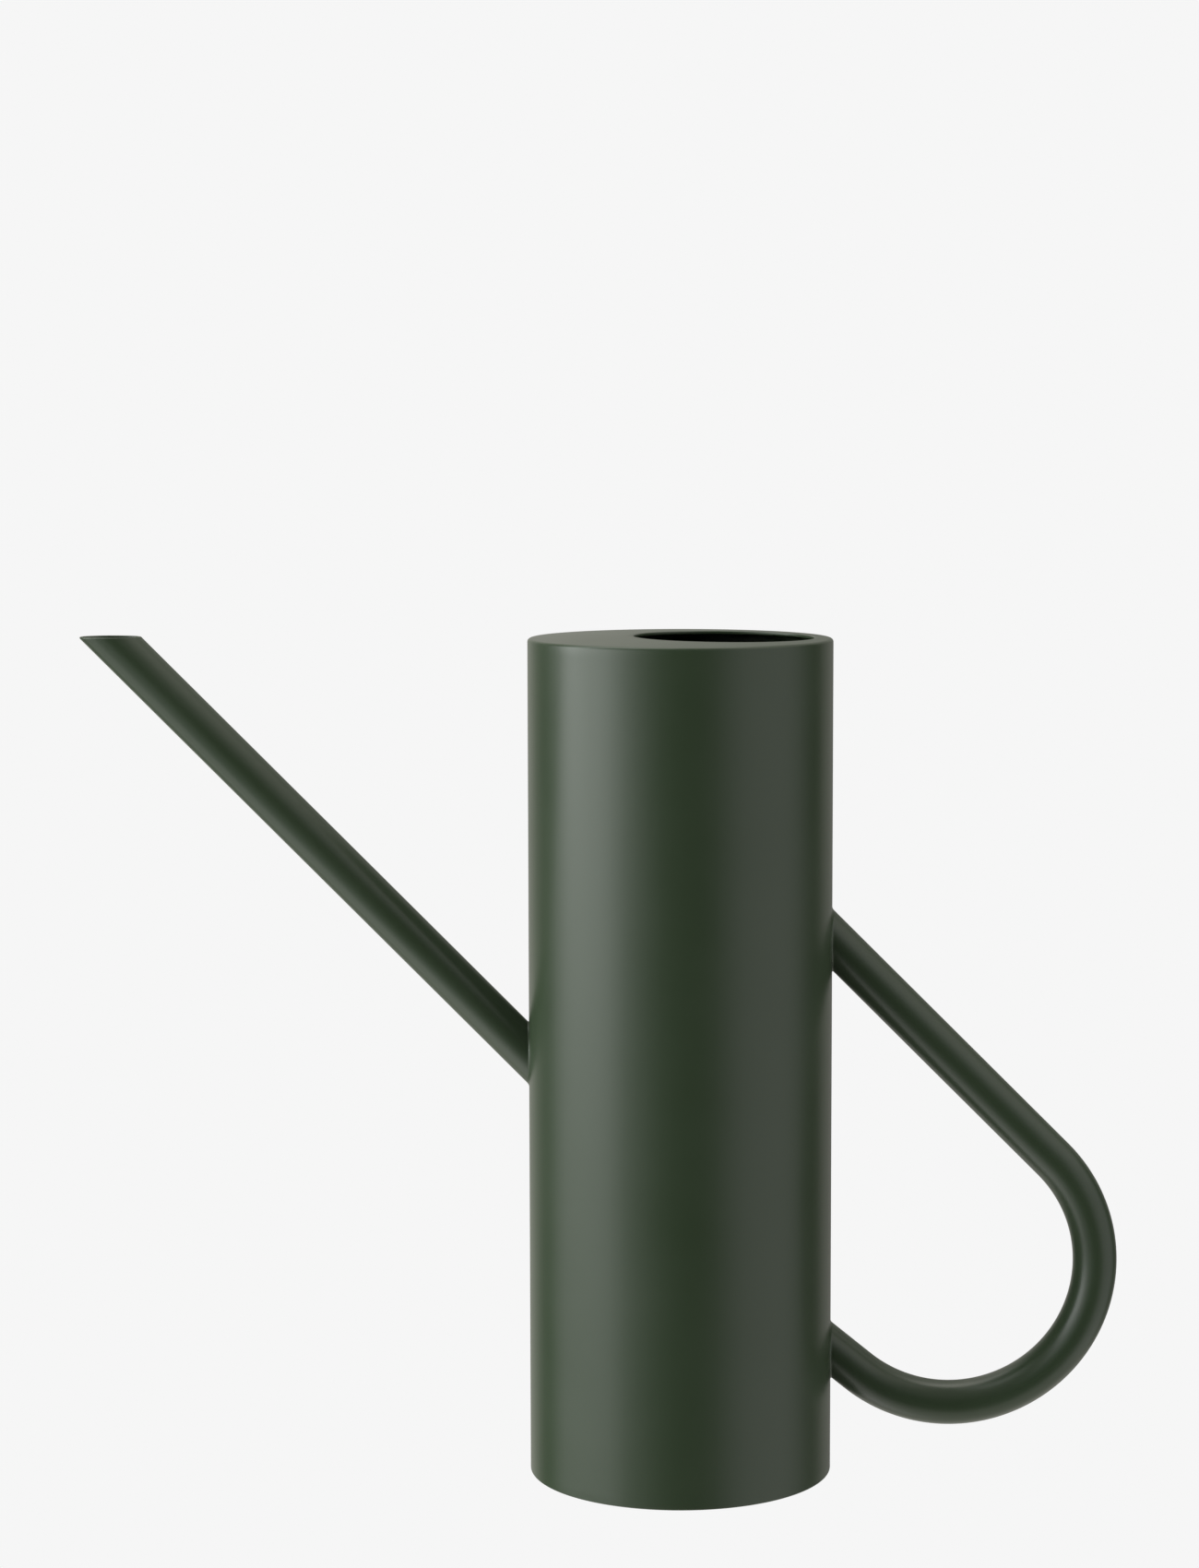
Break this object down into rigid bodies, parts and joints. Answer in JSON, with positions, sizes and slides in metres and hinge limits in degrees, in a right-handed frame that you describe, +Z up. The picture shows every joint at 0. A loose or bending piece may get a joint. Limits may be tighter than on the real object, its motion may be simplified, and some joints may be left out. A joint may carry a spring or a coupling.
{
  "type": "watering can",
  "caption": "Slim steel watering can: tall cylinder with an off-centre filling opening in its top, a straight slanting spout and a bent tube handle.",
  "frame": {"origin": "centre of the underside, on the body's axis", "axes": "+Z up along the body's axis, -X towards the spout, +X towards the handle; the XZ plane is the plane of symmetry"},
  "size_m": [0.3761, 0.11, 0.3058],
  "materials": {
    "powder_coat": "matt dark green powder coat with a fine texture",
    "weld_coat": "weld metal under the same matt dark green powder coat"
  },
  "bodies": {
    "root": {"body_tube": "powder_coat", "top_plate": "powder_coat", "base_plate": "powder_coat", "top_seam_weld": "weld_coat", "base_seam_weld": "weld_coat", "spout_tube": "powder_coat", "spout_weld": "weld_coat", "handle_tube": "powder_coat", "upper_handle_weld": "weld_coat", "lower_handle_weld": "weld_coat"}
  },
  "joints": []
}
